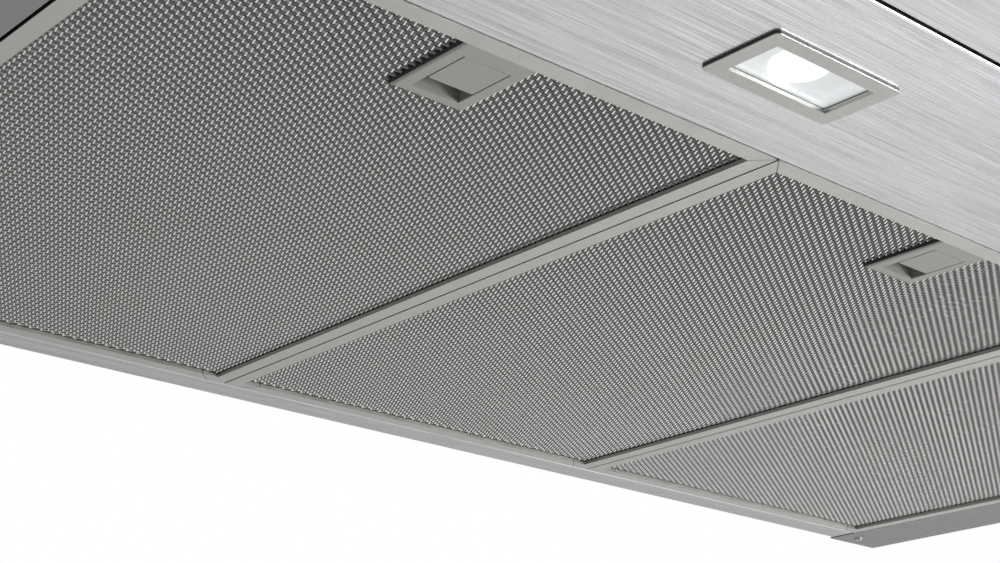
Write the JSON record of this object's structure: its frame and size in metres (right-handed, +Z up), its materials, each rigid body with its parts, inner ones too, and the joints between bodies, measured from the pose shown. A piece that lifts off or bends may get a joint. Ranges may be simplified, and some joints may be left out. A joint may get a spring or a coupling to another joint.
{
  "type": "chimney range hood",
  "caption": "Wall-mounted chimney range hood: flat box canopy with mesh grease filters on latches, recessed lamps, push buttons, blower, duct collar with flaps and a telescopic chimney.",
  "frame": {"origin": "on the wall plane, midway between the two hanging screws", "axes": "+X to the hood's right seen from the front, +Y into the wall, +Z up"},
  "size_m": [0.9, 0.5052, 0.6292],
  "materials": {
    "brushed_steel": "fine horizontal brushing, satin",
    "galvanised_steel": "zinc-coated sheet, dull",
    "filter_aluminium": "satin, slightly warm grey",
    "grey_plastic": "fine-grained, matte",
    "spring_steel": "bare wire",
    "lamp_metal": "satin anodised",
    "lamp_glass": "frosted, lit from behind",
    "led_white": "white board with a glowing emitter",
    "lamp_tin": "pressed tin, dull",
    "button_metal": "turned, satin",
    "ring_chrome": "polished",
    "dark_plastic": "moulded, matte",
    "board_green": "solder-masked board",
    "motor_casing": "dull grey paint",
    "screw_steel": "plain steel"
  },
  "bodies": {
    "canopy": {"canopy_shell": "brushed_steel", "front_fascia": "brushed_steel", "lamp_panel": "brushed_steel", "rear_panel": "brushed_steel", "cable_gland": "dark_plastic", "button_rings": "ring_chrome", "button_carrier": "dark_plastic", "control_board": "board_green", "electronics_box": "dark_plastic", "chimney_lower": "brushed_steel", "side_plate_left": "galvanised_steel", "side_plate_right": "galvanised_steel", "hanging_rail": "galvanised_steel", "scroll_left": "dark_plastic", "scroll_right": "dark_plastic", "motor": "motor_casing", "motor_bracket": "galvanised_steel", "outlet_adapter": "dark_plastic", "flap_pin": "screw_steel", "screws": "screw_steel", "lamp_bezel_left": "lamp_metal", "lamp_lens_left": "lamp_glass", "lamp_housing_left": "lamp_tin", "led_board_left": "led_white", "lamp_bezel_right": "lamp_metal", "lamp_lens_right": "lamp_glass", "lamp_housing_right": "lamp_tin", "led_board_right": "led_white"},
    "upper_chimney": {"chimney_upper": "brushed_steel", "ceiling_bracket": "galvanised_steel"},
    "fan_wheel": {"impeller": "dark_plastic", "motor_shaft": "screw_steel"},
    "left_flap": {"flap_left": "dark_plastic"},
    "right_flap": {"flap_right": "dark_plastic"},
    "left_filter": {"filter_frame_left": "filter_aluminium", "filter_mesh_left": "filter_aluminium", "filter_core_left": "filter_aluminium", "latch_housing_left": "grey_plastic", "latch_springs_left": "spring_steel"},
    "left_latch": {"latch_key_left": "grey_plastic", "latch_tongue_left": "spring_steel"},
    "middle_filter": {"filter_frame_middle": "filter_aluminium", "filter_mesh_middle": "filter_aluminium", "filter_core_middle": "filter_aluminium", "latch_housing_middle": "grey_plastic", "latch_springs_middle": "spring_steel"},
    "middle_latch": {"latch_key_middle": "grey_plastic", "latch_tongue_middle": "spring_steel"},
    "right_filter": {"filter_frame_right": "filter_aluminium", "filter_mesh_right": "filter_aluminium", "filter_core_right": "filter_aluminium", "latch_housing_right": "grey_plastic", "latch_springs_right": "spring_steel"},
    "right_latch": {"latch_key_right": "grey_plastic", "latch_tongue_right": "spring_steel"},
    "light_button": {"button_light": "button_metal"},
    "off_button": {"button_off": "button_metal"},
    "low_button": {"button_low": "button_metal"},
    "medium_button": {"button_medium": "button_metal"},
    "high_button": {"button_high": "button_metal"}
  },
  "joints": [
    {"name": "chimney_extension", "type": "slide", "parent": "canopy", "child": "upper_chimney", "axis": [0, 0, 1], "range_m": [0, 0.326]},
    {"name": "fan_spin", "type": "hinge", "parent": "canopy", "child": "fan_wheel", "pos_m": [0, -0.126, -0.082], "axis": [1, 0, 0], "continuous": true},
    {"name": "left_flap_swing", "type": "hinge", "parent": "canopy", "child": "left_flap", "pos_m": [0, -0.15, 0.08], "axis": [0, 1, 0], "range_deg": [0, 75]},
    {"name": "right_flap_swing", "type": "hinge", "parent": "canopy", "child": "right_flap", "pos_m": [0, -0.15, 0.08], "axis": [0, -1, 0], "range_deg": [0, 75]},
    {"name": "left_filter_swing", "type": "hinge", "parent": "canopy", "child": "left_filter", "pos_m": [-0.2662, -0.0222, -0.24], "axis": [1, 0, 0], "range_deg": [0, 55], "deforming": ["latch_tongue_left"]},
    {"name": "left_latch_slide", "type": "slide", "parent": "left_filter", "child": "left_latch", "axis": [0, 1, 0], "range_m": [0, 0.008], "stiffness_N_per_m": 400, "springref_m": -0.004, "deforming": ["latch_springs_left"]},
    {"name": "middle_filter_swing", "type": "hinge", "parent": "canopy", "child": "middle_filter", "pos_m": [0, -0.0222, -0.24], "axis": [1, 0, 0], "range_deg": [0, 55], "deforming": ["latch_tongue_middle"]},
    {"name": "middle_latch_slide", "type": "slide", "parent": "middle_filter", "child": "middle_latch", "axis": [0, 1, 0], "range_m": [0, 0.008], "stiffness_N_per_m": 400, "springref_m": -0.004, "deforming": ["latch_springs_middle"]},
    {"name": "right_filter_swing", "type": "hinge", "parent": "canopy", "child": "right_filter", "pos_m": [0.2662, -0.0222, -0.24], "axis": [1, 0, 0], "range_deg": [0, 55], "deforming": ["latch_tongue_right"]},
    {"name": "right_latch_slide", "type": "slide", "parent": "right_filter", "child": "right_latch", "axis": [0, 1, 0], "range_m": [0, 0.008], "stiffness_N_per_m": 400, "springref_m": -0.004, "deforming": ["latch_springs_right"]},
    {"name": "light_button_push", "type": "slide", "parent": "canopy", "child": "light_button", "axis": [0, 1, 0], "range_m": [0, 0.001], "stiffness_N_per_m": 300, "springref_m": -0.002},
    {"name": "off_button_push", "type": "slide", "parent": "canopy", "child": "off_button", "axis": [0, 1, 0], "range_m": [0, 0.001], "stiffness_N_per_m": 300, "springref_m": -0.002},
    {"name": "low_button_push", "type": "slide", "parent": "canopy", "child": "low_button", "axis": [0, 1, 0], "range_m": [0, 0.001], "stiffness_N_per_m": 300, "springref_m": -0.002},
    {"name": "medium_button_push", "type": "slide", "parent": "canopy", "child": "medium_button", "axis": [0, 1, 0], "range_m": [0, 0.001], "stiffness_N_per_m": 300, "springref_m": -0.002},
    {"name": "high_button_push", "type": "slide", "parent": "canopy", "child": "high_button", "axis": [0, 1, 0], "range_m": [0, 0.001], "stiffness_N_per_m": 300, "springref_m": -0.002}
  ]
}
